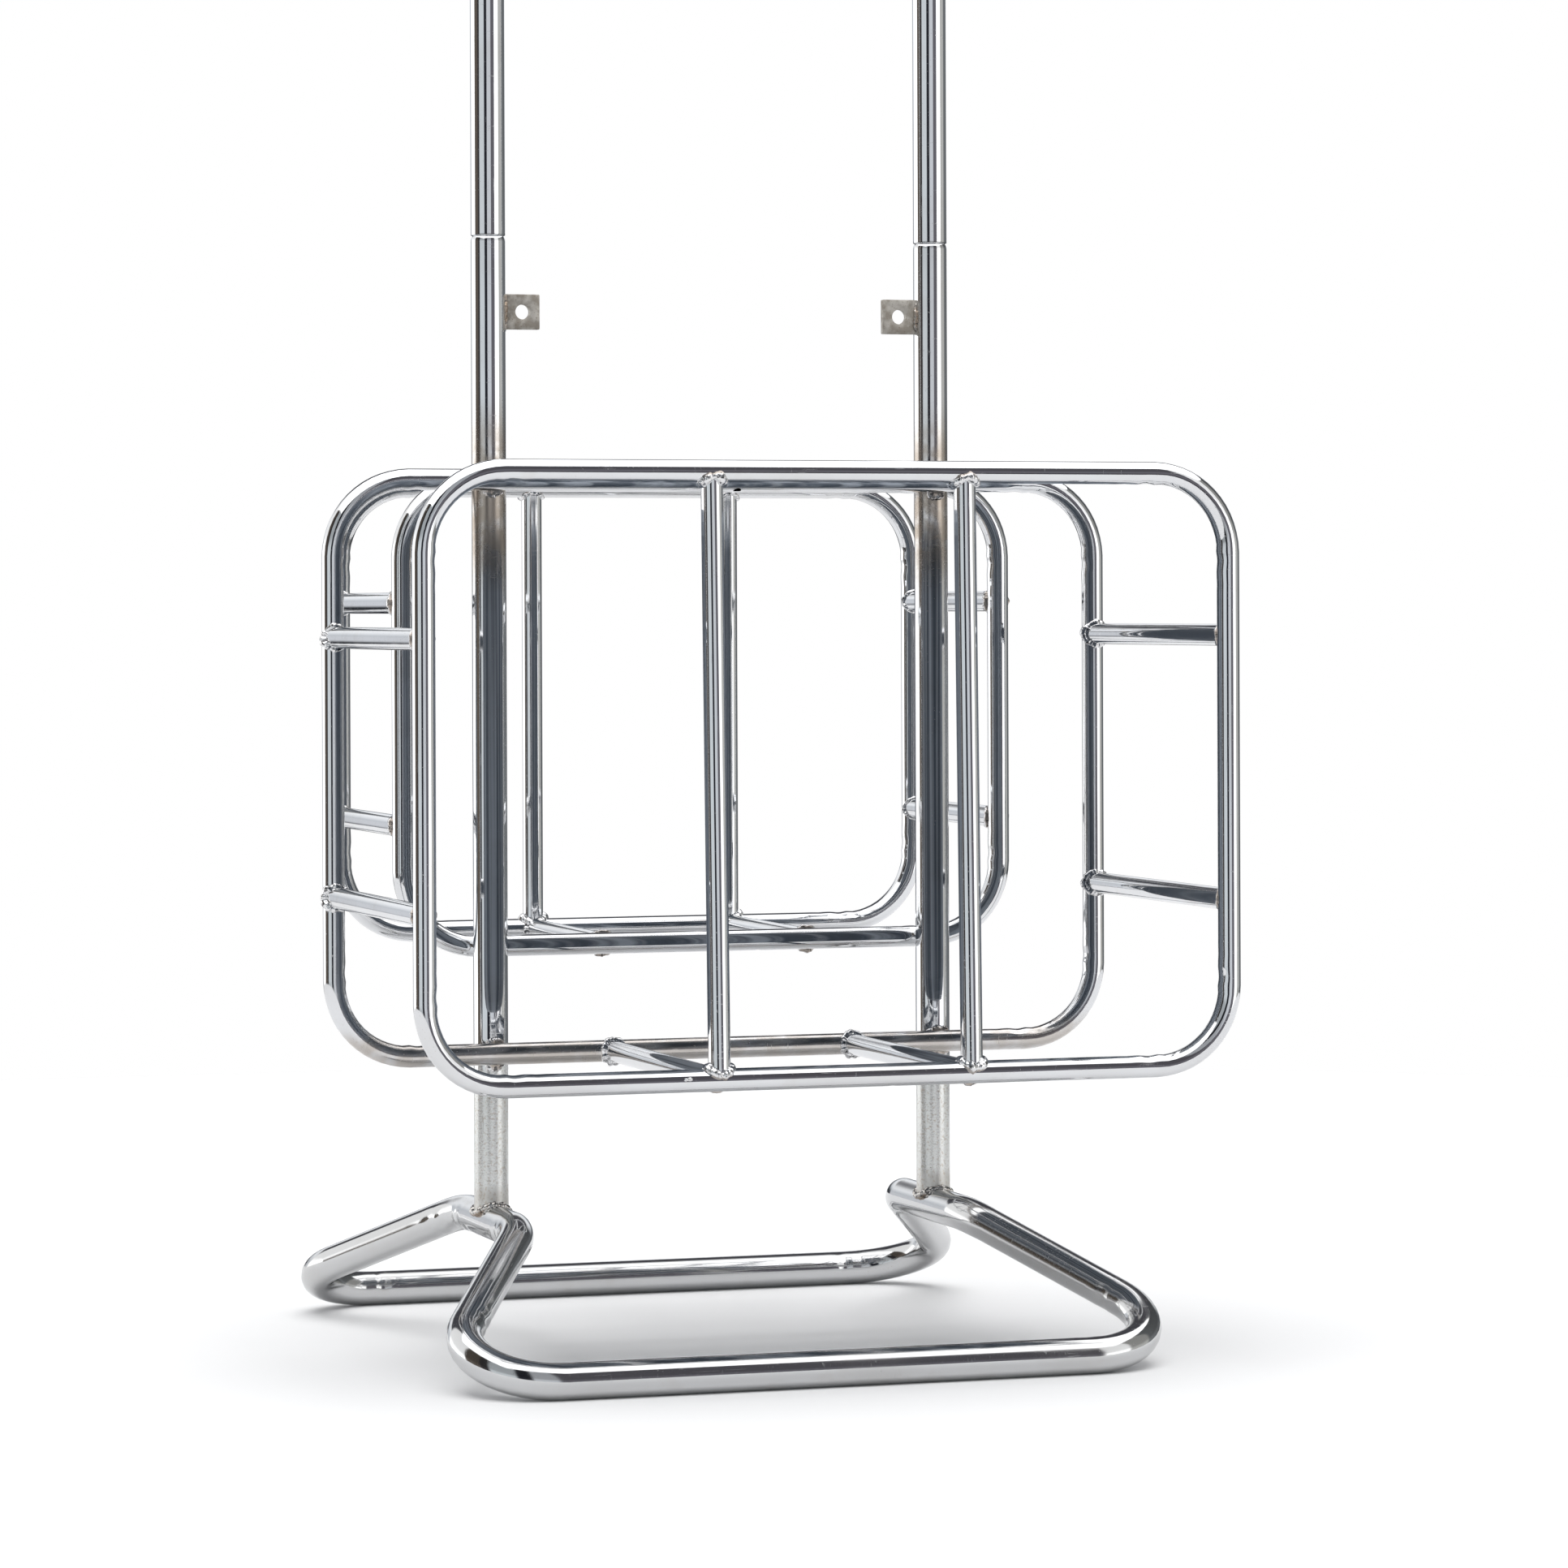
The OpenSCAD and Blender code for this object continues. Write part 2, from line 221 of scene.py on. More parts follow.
class TubeBench:
    """Shapes one tube: a ring is pushed along its straights and turned through bends."""

    STEPS = 14  # steps in a bend
    CLOSE = (2, 4, 6, 8, 11, 14, 18, 23, 29, 36)  # mm from an end to its close rings
    ROUND_STOP = (-14, -9, -6, -4, 4, 6, 9, 14)  # mm from a hole to the rings round it
    REACH = 36 * MM  # how far beyond a bend its marks go
    NEAR = 1.3  # how near the centreline the marks start, in tube radii
    EASE = 12 * MM  # the length over which a bend's oval section sets in
    FLATTEN, WIDEN = 0.045, 0.02  # the oval section, in tube radii
    WRINKLE, WAVE, CREST = 0.075, 17 * MM, 1.5 * MM  # its height, in radii, pitch and place
    FADE_OUT, FADE_IN = 16, 7  # mm over which the wrinkles fade along straight and bend

    def __init__(self, name: str, stock: Stock, at: Vector, along: Vector) -> None:
        """Starts a tube with an open ring.

        Args:
            name: The name of the piece.
            stock: The tube stock.
            at: The middle of the first ring.
            along: The direction in which the tube sets off.
        """
        ring = {"vertices": stock.sides, "radius": stock.radius}
        circle = bpy.ops.mesh.primitive_circle_add
        self.piece = begin(circle, name, location=at, rotation=aim(along), **ring)
        self.stock = stock
        self.here = Vector(at)
        self.bends: list[Bend] = []
        bpy.ops.object.mode_set(mode="EDIT")
        bpy.ops.mesh.select_all(action="SELECT")

    def push_to(self, there: Vector) -> None:
        """Extrudes the ring to a point."""
        move = there - self.here
        if move.length > 0.02 * MM:
            bpy.ops.mesh.extrude_region_move(TRANSFORM_OT_translate={"value": tuple(move)})
            self.here = Vector(there)

    def straight(self, end: Vector, stops: Iterable[Vector] = ()) -> None:
        """Runs a straight with closer rings beside both ends and round some stops.

        Args:
            end: Where the straight ends.
            stops: Points, such as drain holes, that need close rings round them.
        """
        start, way = self.here.copy(), end - self.here
        length = way.length
        unit = way.normalized()
        marks = {length}
        close = [d * MM for d in self.CLOSE if d * MM < length / 2]
        marks.update(close)
        marks.update(length - d for d in close)
        for stop in stops:
            middle_mark = (stop - start).dot(unit)
            if (stop - start - unit * middle_mark).length < self.stock.radius:
                marks.update(middle_mark + d * MM for d in self.ROUND_STOP)
        for mark in sorted(m for m in marks if 0 < m <= length):
            self.push_to(start + unit * mark)

    def turn(self, bend: Bend) -> None:
        """Spins the ring through a bend."""
        bpy.ops.mesh.spin(
            steps=self.STEPS, angle=-bend.angle, center=bend.centre, axis=bend.axis
        )
        self.here = bend.end.copy()
        self.bends.append(bend)

    def taper(self, share: float) -> None:
        """Scales the open ring about its middle."""
        bpy.ops.transform.resize(value=(share, share, share), center_override=tuple(self.here))

    def cap(self) -> None:
        """Closes the open ring with a face."""
        bpy.ops.mesh.edge_face_add()

    def finish(self) -> Piece:
        """Ends edit mode, closes the seam, turns the faces out and returns the piece."""
        bpy.ops.object.mode_set(mode="OBJECT")
        faces_out(self.piece)
        for bend in self.bends:
            self.work_bend(bend)
        return self.piece

    def work_bend(self, bend: Bend) -> None:
        """Flattens the outer side of a bend and raises the wrinkles at both its ends."""
        radius = (bend.start - bend.centre).length
        length = radius * bend.angle
        out = (bend.start - bend.centre).normalized()
        tube = self.stock.radius
        near = self.NEAR * tube
        for vertex in self.piece.data.vertices:
            rel = vertex.co - bend.centre
            up = rel.dot(bend.axis)
            flat = rel - bend.axis * up
            if abs(up) > near or flat.length > radius + self.REACH + near:
                continue
            turned = math.atan2(bend.axis.dot(out.cross(flat)), out.dot(flat))
            if turned < 0:
                place = (vertex.co - bend.start).dot(bend.along)
                radial = out
                off = (vertex.co - bend.start).dot(out)
            elif turned > bend.angle:
                tangent = bend.axis.cross((bend.end - bend.centre).normalized())
                radial = (bend.end - bend.centre).normalized()
                place = length + (vertex.co - bend.end).dot(tangent)
                off = (vertex.co - bend.end).dot(radial)
            else:
                place, radial, off = radius * turned, flat.normalized(), flat.length - radius
            if abs(off) > near or not -self.REACH < place < length + self.REACH:
                continue
            depths = (place, length - place)
            eased, eased_end = (min(max(into / self.EASE, 0), 1) for into in depths)
            inside = eased * eased_end
            outer, sideways = off / tube, up / tube
            vertex.co -= radial * (self.FLATTEN * tube * inside * max(outer, 0))
            vertex.co += bend.axis * (self.WIDEN * tube * inside * sideways)
            for into in depths:
                fade = math.exp(-abs(into) / ((self.FADE_OUT if into < 0 else self.FADE_IN) * MM))
                wrinkle = fade * math.cos(2 * math.pi * (into - self.CREST) / self.WAVE)
                vertex.co -= radial * (self.WRINKLE * tube * wrinkle * max(-outer, 0) ** 1.5)


def closed_tube(
    name: str,
    stock: Stock,
    corners: Sequence[Vector],
    radii: Sequence[float],
    stops: Sequence[Vector] = (),
) -> Piece:
    """Bends a closed tube along its corner points.

    Args:
        name: The name of the piece.
        stock: The tube stock.
        corners: The corner points of the centreline, in order.
        radii: The bend radius at each corner.
        stops: Points that need close rings round them.

    Returns:
        The tube, as a shell without a wall.
    """
    count = len(corners)
    bends = [
        Bend.at(corners[i - 1], corners[i], corners[(i + 1) % count], radii[i])
        for i in range(count)
    ]
    seam = (bends[-1].end + bends[0].start) / 2
    bench = TubeBench(name, stock, seam, bends[0].along)
    for bend in bends:
        bench.straight(bend.start, stops)
        bench.turn(bend)
    bench.straight(seam, stops)
    return bench.finish()


def drill(piece: Piece, at: Vector, along: Vector, radius: float, depth: float) -> None:
    """Drills a round hole through one wall of a piece.

    Args:
        piece: The piece to drill.
        at: Where the hole starts, inside the tube.
        along: The direction in which the hole goes out.
        radius: The radius of the hole.
        depth: How far the drill goes.
    """
    bit = {"vertices": 32, "radius": radius, "depth": depth}
    place = at + along * depth / 2
    tool = begin(bpy.ops.mesh.primitive_cylinder_add, location=place, rotation=aim(along), **bit)
    modify(piece, "BOOLEAN", operation="DIFFERENCE", solver="EXACT", object=tool)
    bpy.data.objects.remove(tool, do_unlink=True)


def coped_bar(name: str, start: Vector, end: Vector, across: Vector) -> Piece:
    """Makes a straight bar whose ends are coped onto two loops.

    Args:
        name: The name of the piece.
        start: The start, on the axis of the first loop.
        end: The end, on the axis of the second loop.
        across: The direction of both loops' axes there.

    Returns:
        The bar.
    """
    way = (end - start).normalized()
    bench = TubeBench(name, BAR, start, way)
    bench.cap()
    bench.straight(end)
    bench.cap()
    piece = bench.finish()
    side = way.cross(across).normalized()
    for vertex in piece.data.vertices:
        for near, out in ((start, way), (end, -way)):
            rel = vertex.co - near
            if abs(rel.dot(out)) < 0.5 * MM:
                lift = math.sqrt((LOOP.radius - BITE) ** 2 - (SNUG * rel.dot(side)) ** 2)
                vertex.co += out * lift
    return piece


# ---- weld metal


@dataclass(frozen=True)
class BeadShape:
    """How a weld bead looks: its size, its lumps and the ripples along it."""

    size: float
    lumps: float = 0.62
    ripples: int = 13
    grit: float = 0.28
    ripple_height: float = 0.07
    lump_scale: float = 210
    grit_scale: float = 560

    def swell(self, place: Vector, around: float) -> float:
        """Returns how much the bead swells at a place, as a share of its size."""
        broad = noise.noise(place * self.lump_scale)
        fine = noise.noise(place * self.grit_scale)
        ripple = math.sin(around * self.ripples + 2.5 * broad)
        return 1 + self.lumps * broad + self.grit * fine + self.ripple_height * ripple


def mark_toe(piece: Piece, values: Sequence[float]) -> None:
    """Stores on each vertex how near it is to the toe of its bead, from 0 to 1."""
    layer = piece.data.attributes.new("toe", "FLOAT", "POINT")
    layer.data.foreach_set("value", list(values))


def ring_bead(
    at: Vector, out: Vector, across: Vector, bar: float, tube: float, shape: BeadShape
) -> Piece:
    """Lays a bead round the end of a bar where it meets a tube.

    Args:
        at: The meeting point, on the tube's axis.
        out: The direction of the bar, away from the tube.
        across: The direction of the tube's axis.
        bar: The radius of the bar.
        tube: The radius of the tube.
        shape: How the bead looks.

    Returns:
        The bead.
    """
    major = bar + 0.15 * shape.size
    ring = {"major_segments": 112, "minor_segments": 20}
    radii = {"major_radius": major, "minor_radius": shape.size}
    torus = bpy.ops.mesh.primitive_torus_add
    bead = begin(torus, location=at, rotation=aim(out), **ring, **radii)
    side = out.cross(across).normalized()
    toes = []
    for vertex in bead.data.vertices:
        rel = vertex.co - at
        radial = rel - out * rel.dot(out)
        spine = radial.normalized() * major
        around = math.atan2(spine.dot(side), spine.dot(across))
        skin = rel - spine
        diagonal = (spine.normalized() + out).normalized()
        toes.append(max(0.0, 1 - max(skin.normalized().dot(diagonal), 0) * 1.25))
        lift = math.sqrt(max(tube**2 - (SNUG * spine.dot(side)) ** 2, 0))
        vertex.co = at + spine + out * lift + skin * shape.swell(at + spine, around)
    mark_toe(bead, toes)
    return bead


def blob_bead(
    at: Vector, sizes: Vector, shape: BeadShape, drop: float = 0, sides: int = 48, toe: float = 1
) -> Piece:
    """Lays a short bead or blob of weld metal.

    Args:
        at: The middle of the blob.
        sizes: Its half lengths along X, Y and Z.
        shape: How its surface looks.
        drop: How far its middle sags, in metres.
        sides: The sides of its rings.
        toe: How brown its toes are, from 0 to 1.

    Returns:
        The blob.
    """
    ball = {"segments": sides, "ring_count": sides * 5 // 8, "radius": 1}
    blob = begin(bpy.ops.mesh.primitive_uv_sphere_add, scale=sizes, location=at, **ball)
    longest = max(range(3), key=lambda i: sizes[i])
    toes = []
    for vertex in blob.data.vertices:
        rel = vertex.co - at
        share = Vector([rel[i] / sizes[i] for i in range(3)])
        toes.append(toe * min(1.0, abs(share.y) + 0.35 * abs(share[longest])))
        swell = shape.swell(at + rel * 0.6, 3 * share[longest])
        vertex.co = at + rel * swell - Z * drop * (1 - share.x**2)
    mark_toe(blob, toes)
    return blob


# ---- finishes


class Nodes:
    """Builds a node tree, one named step at a time."""

    def __init__(self, tree: bpy.types.NodeTree) -> None:
        """Starts with an empty tree."""
        self.tree = tree
        tree.nodes.clear()

    def new(self, kind: str, fed: dict | None = None, **settings: object) -> bpy.types.Node:
        """Returns a new node with some inputs fed and some settings."""
        node = self.tree.nodes.new(f"ShaderNode{kind}")
        for name, value in settings.items():
            setattr(node, name, value)
        for name, source in (fed or {}).items():
            self.link(source, node.inputs[name])
        return node

    def link(self, source: object, target: Socket) -> None:
        """Joins a socket to an input, or sets the input to a plain value."""
        if isinstance(source, Socket):
            self.tree.links.new(source, target)
        else:
            target.default_value = source

    def step(self, kind: str, a: object, b: object = 0.0) -> Socket:
        """Returns one math step on two values."""
        return self.new("Math", {0: a, 1: b}, operation=kind).outputs[0]

    def times(self, a: object, b: object) -> Socket:
        """Returns the product of two values."""
        return self.step("MULTIPLY", a, b)

    def plus(self, base: object, amount: object, share: float) -> Socket:
        """Returns a value with a share of another added."""
        return self.step("ADD", base, self.times(amount, share))

    def blend(self, share: object, a: object, b: object, kind: str = "MIX") -> Socket:
        """Returns a colour between a and b, or their product."""
        a, b = (colour if isinstance(colour, Socket) else (*colour, 1) for colour in (a, b))
        fed = {0: share, 6: a, 7: b}
        return self.new("Mix", fed, data_type="RGBA", blend_type=kind).outputs[2]

    def along(self, view: Socket, direction: Vector) -> Socket:
        """Returns how far a vector reaches along a direction."""
        fed = {0: view, 1: direction}
        return self.new("VectorMath", fed, operation="DOT_PRODUCT").outputs["Value"]

    def ramp(self, fac: object, stops: Iterable[tuple[float, tuple]]) -> Socket:
        """Returns the colour of a ramp with some stops."""
        node = self.new("ValToRGB", {0: fac})
        marks = node.color_ramp.elements
        for index, (place, colour) in enumerate(stops):
            mark = marks[index] if index < 2 else marks.new(place)
            mark.position, mark.color = place, (*colour, 1)
        return node.outputs[0]


class Recipe(Nodes):
    """Builds one node material round a principled shader."""

    def __init__(self, name: str) -> None:
        """Starts the material."""
        self.material = bpy.data.materials.new(name)
        self.material.use_nodes = True
        super().__init__(self.material.node_tree)
        self.shader = self.new("BsdfPrincipled")
        self.out = self.new("OutputMaterial", {0: self.shader.outputs[0]})
        self.place = self.new("TexCoord").outputs["Object"]

    def stretched(self, scale: Sequence[float], turn: Sequence[float] = (0, 0, 0)) -> Socket:
        """Returns object coordinates that are scaled and turned."""
        fed = {"Scale": scale, "Rotation": turn, "Vector": self.place}
        return self.new("Mapping", fed).outputs[0]

    def cloud(self, scale: float, detail: float = 2.0, where: Socket | None = None) -> Socket:
        """Returns soft noise of a scale, per metre."""
        fed = {"Scale": scale, "Detail": detail, "Vector": where or self.place}
        return self.new("TexNoise", fed).outputs[0]

    def cells(self, scale: float) -> Socket:
        """Returns the distance to scattered points, for pits."""
        fed = {"Scale": scale, "Vector": self.place}
        return self.new("TexVoronoi", fed).outputs["Distance"]

    def span(self, source: object, low: float, high: float) -> Socket:
        """Returns 0 at low, 1 at high, and eased values between them."""
        fed = {"Value": source, "From Min": low, "From Max": high}
        return self.new("MapRange", fed, interpolation_type="SMOOTHSTEP").outputs["Result"]

    def height(self) -> Socket:
        """Returns the height above the floor."""
        return self.new("SeparateXYZ", {0: self.place}).outputs["Z"]

    def tint(self, colour: object, other: object, amount: object, share: float) -> Socket:
        """Returns a colour turned towards another by a share of an amount."""
        return self.blend(self.times(amount, share), colour, other)

    def bump(self, height: object, distance: float, under: Socket | None = None) -> Socket:
        """Returns a normal bumped by a height, over another bump."""
        fed = {"Distance": distance, "Height": height}
        if under is not None:
            fed["Normal"] = under
        return self.new("Bump", fed).outputs[0]

    def attribute(self, name: str) -> Socket:
        """Returns a value stored on the mesh."""
        return self.new("Attribute", attribute_name=name).outputs["Fac"]

    def serve(self, colour: object, roughness: object, normal: object, metallic: float) -> Material:
        """Feeds the shader and returns the material."""
        fed = {"Base Color": colour, "Roughness": roughness, "Normal": normal, "Metallic": metallic}
        for name, source in fed.items():
            self.link(source, self.shader.inputs[name])
        return self.material


@dataclass(frozen=True)
class Chrome:
    """Bright chrome plate with a rolling surface, fine scratches, pits and stains."""

    name: str
    bright: tuple = (0.790, 0.800, 0.815)
    worn: tuple = (0.700, 0.695, 0.690)
    stain: tuple = (0.420, 0.340, 0.260)
    film: tuple = (0.600, 0.605, 0.570)
    gloss: float = 0.035
    haze: float = 0.05
    wave: float = 0.26 * MM
    scuffs: float = 0.16
    pits: float = 0.17
    stain_bands: tuple = ()
    dull_below: float = 0.0

    def make(self) -> Material:
        """Returns the material."""
        mix = Recipe(self.name)
        cloudy = mix.span(mix.cloud(7.0, 4.0), 0.42, 0.68)
        grime = mix.span(mix.cloud(38.0, 5.0), 0.55, 0.74)
        lines = mix.cloud(1.0, 1.0, mix.stretched((40, 900, 900), (0.2, 0.5, 0.1)))
        others = mix.cloud(1.0, 1.0, mix.stretched((900, 900, 40), (0.1, 0.25, 0.7)))
        streaks = mix.step("MAXIMUM", mix.span(lines, 0.69, 0.73), mix.span(others, 0.70, 0.74))
        pit = mix.span(mix.cells(420.0), self.pits, 0.02)
        patchy = mix.times(pit, mix.span(mix.cloud(16.0, 3.0), 0.50, 0.64))
        colour = mix.tint(self.bright, self.worn, cloudy, 0.55)
        colour = mix.tint(colour, self.stain, patchy, 0.55)
        roughness = mix.plus(self.gloss, cloudy, self.haze)
        roughness = mix.plus(roughness, streaks, self.scuffs)
        roughness = mix.plus(roughness, patchy, 0.3)
        height = mix.height()
        for low, high, amount in self.stain_bands:
            edge = 0.25 * (high - low)
            above = mix.span(height, low - edge, low + edge)
            band = mix.times(above, mix.span(height, high + edge, high - edge))
            band = mix.times(band, mix.span(mix.cloud(60.0, 5.0), 0.18, 0.58))
            band = mix.times(band, amount)
            colour = mix.blend(band, colour, self.stain)
            roughness = mix.plus(roughness, band, 0.28)
        colour = mix.tint(colour, self.stain, grime, 0.10)
        under = mix.bump(mix.cloud(17.0, 1.0), self.wave)
        if self.dull_below:
            dull = mix.span(height, self.dull_below + 0.02, self.dull_below - 0.03)
            colour = mix.tint(colour, self.film, dull, 0.55)
            roughness = mix.plus(roughness, dull, 0.21)
            speck = mix.times(mix.span(mix.cloud(520.0, 3.0), 0.56, 0.64), dull)
            colour = mix.tint(colour, self.stain, speck, 0.45)
            under = mix.bump(mix.times(mix.cloud(700.0, 3.0), dull), 0.06 * MM, under)
        normal = mix.bump(mix.step("SUBTRACT", 1.0, patchy), 0.03 * MM, under)
        normal = mix.bump(mix.step("SUBTRACT", 1.0, streaks), 0.004 * MM, normal)
        return mix.serve(colour, roughness, normal, 1.0)


@dataclass(frozen=True)
class WeldMetal:
    """Plated weld metal: bright on its crown, brown and rusty along its toes, with painted shade in
    near-black spots.
    """

    name: str
    bright: tuple = (0.800, 0.800, 0.805)
    toe: tuple = (0.400, 0.320, 0.250)
    # painted shade: the near-black colour painted in spots over the bead as its dark facets and
    # shaded hollows
    painted_dark: tuple = (0.070, 0.068, 0.070)
    rust: tuple = (0.300, 0.130, 0.050)
    rusting: float = 0.25

    def make(self) -> Material:
        """Returns the material."""
        mix = Recipe(self.name)
        toe = mix.span(mix.plus(mix.attribute("toe"), mix.cloud(240.0, 4.0), 0.8), 0.85, 1.5)
        specks = mix.span(mix.cloud(900.0, 3.0), 0.60, 0.68)
        # painted shade: near-black blotches at random over the bead stand in for the dark facets
        # and shaded hollows of the lumpy weld
        painted_dark_spots = mix.span(mix.cloud(310.0, 3.0), 0.43, 0.37)
        colour = mix.tint(self.bright, self.toe, toe, 0.75)
        colour = mix.tint(colour, self.rust, specks, self.rusting)
        colour = mix.tint(colour, self.painted_dark, painted_dark_spots, 0.85)
        roughness = mix.plus(mix.plus(0.06, toe, 0.34), specks, 0.3)
        normal = mix.bump(mix.cloud(420.0, 3.0), 0.42 * MM)
        normal = mix.bump(mix.cloud(1500.0, 2.0), 0.03 * MM, normal)
        return mix.serve(colour, roughness, normal, 1.0)


@dataclass(frozen=True)
class BareSteel:
    """Dull plated steel with blotches, rub marks and specks."""

    name: str
    pale: tuple = (0.560, 0.530, 0.480)
    dark: tuple = (0.300, 0.270, 0.230)
    speck: tuple = (0.160, 0.100, 0.060)
    shine: float = 0.36
    grain: tuple = (60, 900, 900)

    def make(self) -> Material:
        """Returns the material."""
        mix = Recipe(self.name)
        blotch = mix.span(mix.cloud(120.0, 6.0), 0.36, 0.66)
        brush = mix.cloud(1.0, 2.0, mix.stretched(self.grain, (0.0, 0.3, 0.1)))
        specks = mix.span(mix.cloud(750.0, 3.0), 0.61, 0.67)
        colour = mix.blend(blotch, self.pale, self.dark)
        colour = mix.tint(colour, self.speck, specks, 0.6)
        roughness = mix.plus(mix.plus(self.shine, blotch, 0.16), brush, 0.12)
        normal = mix.bump(brush, 0.03 * MM)
        normal = mix.bump(mix.cloud(420.0, 4.0), 0.09 * MM, normal)
        return mix.serve(colour, roughness, normal, 0.35)


CAGE_CHROME = Chrome("cage chrome")
REAR_CHROME = Chrome("rear loop chrome", stain_bands=((0.205, 0.235, 0.5),))
BASE_CHROME = Chrome(
    "base chrome",
    bright=(0.690, 0.695, 0.700),
    worn=(0.600, 0.595, 0.585),
    gloss=0.085,
    haze=0.08,
    scuffs=0.12,
    pits=0.20,
    wave=0.14 * MM,
)
POST_CHROME = Chrome(
    "post chrome", stain_bands=((0.570, 0.680, 0.80), (0.095, 0.118, 0.5)), dull_below=0.215
)
FRAME_CHROME = Chrome("sign frame chrome", wave=0.18 * MM)
BEAD_METAL = WeldMetal("plated beads")
FOOT_METAL = WeldMetal(
    "rusty foot beads", bright=(0.62, 0.60, 0.57), toe=(0.36, 0.25, 0.16), rusting=0.7
)
TAB_STEEL = BareSteel("tab steel")


def dress(piece: Piece, material: Material) -> None:
    """Gives a piece one material."""
    piece.data.materials.clear()
    piece.data.materials.append(material)


def enter(
    piece: Piece, finish: Material, body: Body, node: str, angle: float = 38.0
) -> None:
    """Dresses a finished piece and enters it in the frame.

    Args:
        piece: The finished piece.
        finish: Its material.
        body: The body that it rides on.
        node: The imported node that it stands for.
        angle: The sharpest angle that is shaded smooth, in degrees.
    """
    dress(piece, finish)
    alone(piece)
    bpy.ops.object.shade_smooth_by_angle(angle=math.radians(angle))
    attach(piece, body.value)
    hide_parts(node)
    log.info("%s: %d faces, for %s", piece.name, len(piece.data.polygons), node)


def lay_down(
    beads: Sequence[Piece], metal: WeldMetal, name: str, node: str, body: Body = Body.STAND
) -> None:
    """Joins some beads, dresses them and enters them for one node."""
    enter(join(beads, name), metal.make(), body, node, 60.0)


# ---- sub-assemblies


@dataclass
class BaseRing:
    """The bent base ring: two floor tubes and two raised stretches that carry the posts."""

    floor_bend: float = 54 * MM
    saddle_bend: float = 62 * MM
    saddle_length: float = 160 * MM
    corner_x: float = 288.5 * MM
    drain_place: float = 60 * MM
    drain: float = 3 * MM
    stock: Stock = HEAVY_BASE

    def corners(self) -> list[Vector]:
        """Returns the corner points of the tube line."""
        low, high = corners_of("base_ring")
        centre = (low + high) / 2
        radius = self.stock.radius
        floor = (self.corner_x, high.y - centre.y - radius, radius)
        raised = (middle("right_post").x, self.saddle_length / 2, SADDLE_HEIGHT)
        line = ((-1, -1, floor), (1, -1, floor), (1, -1, raised), (1, 1, raised))
        line += ((1, 1, floor), (-1, 1, floor), (-1, 1, raised), (-1, -1, raised))
        return [Vector((sx * x, centre.y + sy * y, z)) for sx, sy, (x, y, z) in line]

    def build(self) -> None:
        """Bends, drills and dresses the ring."""
        corners = self.corners()
        radii = [self.floor_bend, self.floor_bend, self.saddle_bend, self.saddle_bend] * 2
        front, back = corners[0].y, corners[4].y
        drains = [
            Vector((-self.drain_place, front, self.stock.radius)),
            Vector((self.drain_place, back, self.stock.radius)),
        ]
        ring = closed_tube("base_ring_tube", self.stock, corners, radii, drains)
        modify(ring, "SOLIDIFY", thickness=self.stock.wall, offset=-1.0)
        for drain in drains:
            drill(ring, drain, -Z, self.drain, 2 * self.stock.radius)
        enter(ring, BASE_CHROME.make(), Body.STAND, "base_ring")


@dataclass
class Posts:
    """The two posts, each with a rounded shoulder and a spigot for the sign frame."""

    shoulder: float = 1.9 * MM
    shoulder_rise: float = 4.5 * MM
    spigot: float = 10.8 * MM
    spigot_wall: float = 1.6 * MM
    fillet: float = 0.4 * MM
    chamfer: float = 2 * MM
    spigot_length: float = 80 * MM
    bore_depth: float = 10 * MM
    base: float = HEAVY_BASE.radius
    bite: float = 0.3 * MM
    above_saddle: float = 30 * MM
    stock: Stock = HEAVY_POST

    def profile(self, joint: float) -> list[tuple[float, float]]:
        """Returns the radius and height of each ring above the foot of a post."""
        r, s = self.stock.radius, self.shoulder
        arc = [
            (r - s + s * math.cos(a), joint + self.shoulder_rise * (math.sin(a) - 1))
            for a in (math.radians(18 * k) for k in range(6))
        ]
        top = joint + self.spigot_length
        bore = self.spigot - self.spigot_wall
        return [
            (r, SADDLE_HEIGHT + self.above_saddle),
            *arc,
            (self.spigot + self.fillet, joint),
            (self.spigot, joint + self.fillet),
            (self.spigot, top - self.chamfer),
            (self.spigot - self.chamfer / 2, top),
            (bore, top),
            (bore, joint + self.bore_depth),
        ]

    def build(self) -> None:
        """Makes and dresses both posts."""
        finish = POST_CHROME.make()
        for side in ("left", "right"):
            node = f"{side}_post"
            foot = middle(node)
            foot.z = SADDLE_HEIGHT
            joint = corners_of(node)[1].z - self.spigot_length
            bench = TubeBench(f"{side}_post_tube", self.stock, foot, Z)
            last = self.stock.radius
            for radius, height in self.profile(joint):
                bench.push_to(Vector((foot.x, foot.y, height)))
                bench.taper(radius / last)
                last = radius
            bench.cap()
            piece = bench.finish()
            for vertex in piece.data.vertices:
                if abs(vertex.co.z - SADDLE_HEIGHT) < 0.1 * MM:
                    off = vertex.co.x - foot.x
                    vertex.co.z += math.sqrt(self.base**2 - (SNUG * off) ** 2) - self.bite
            enter(piece, finish, Body.STAND, node, 30.0)


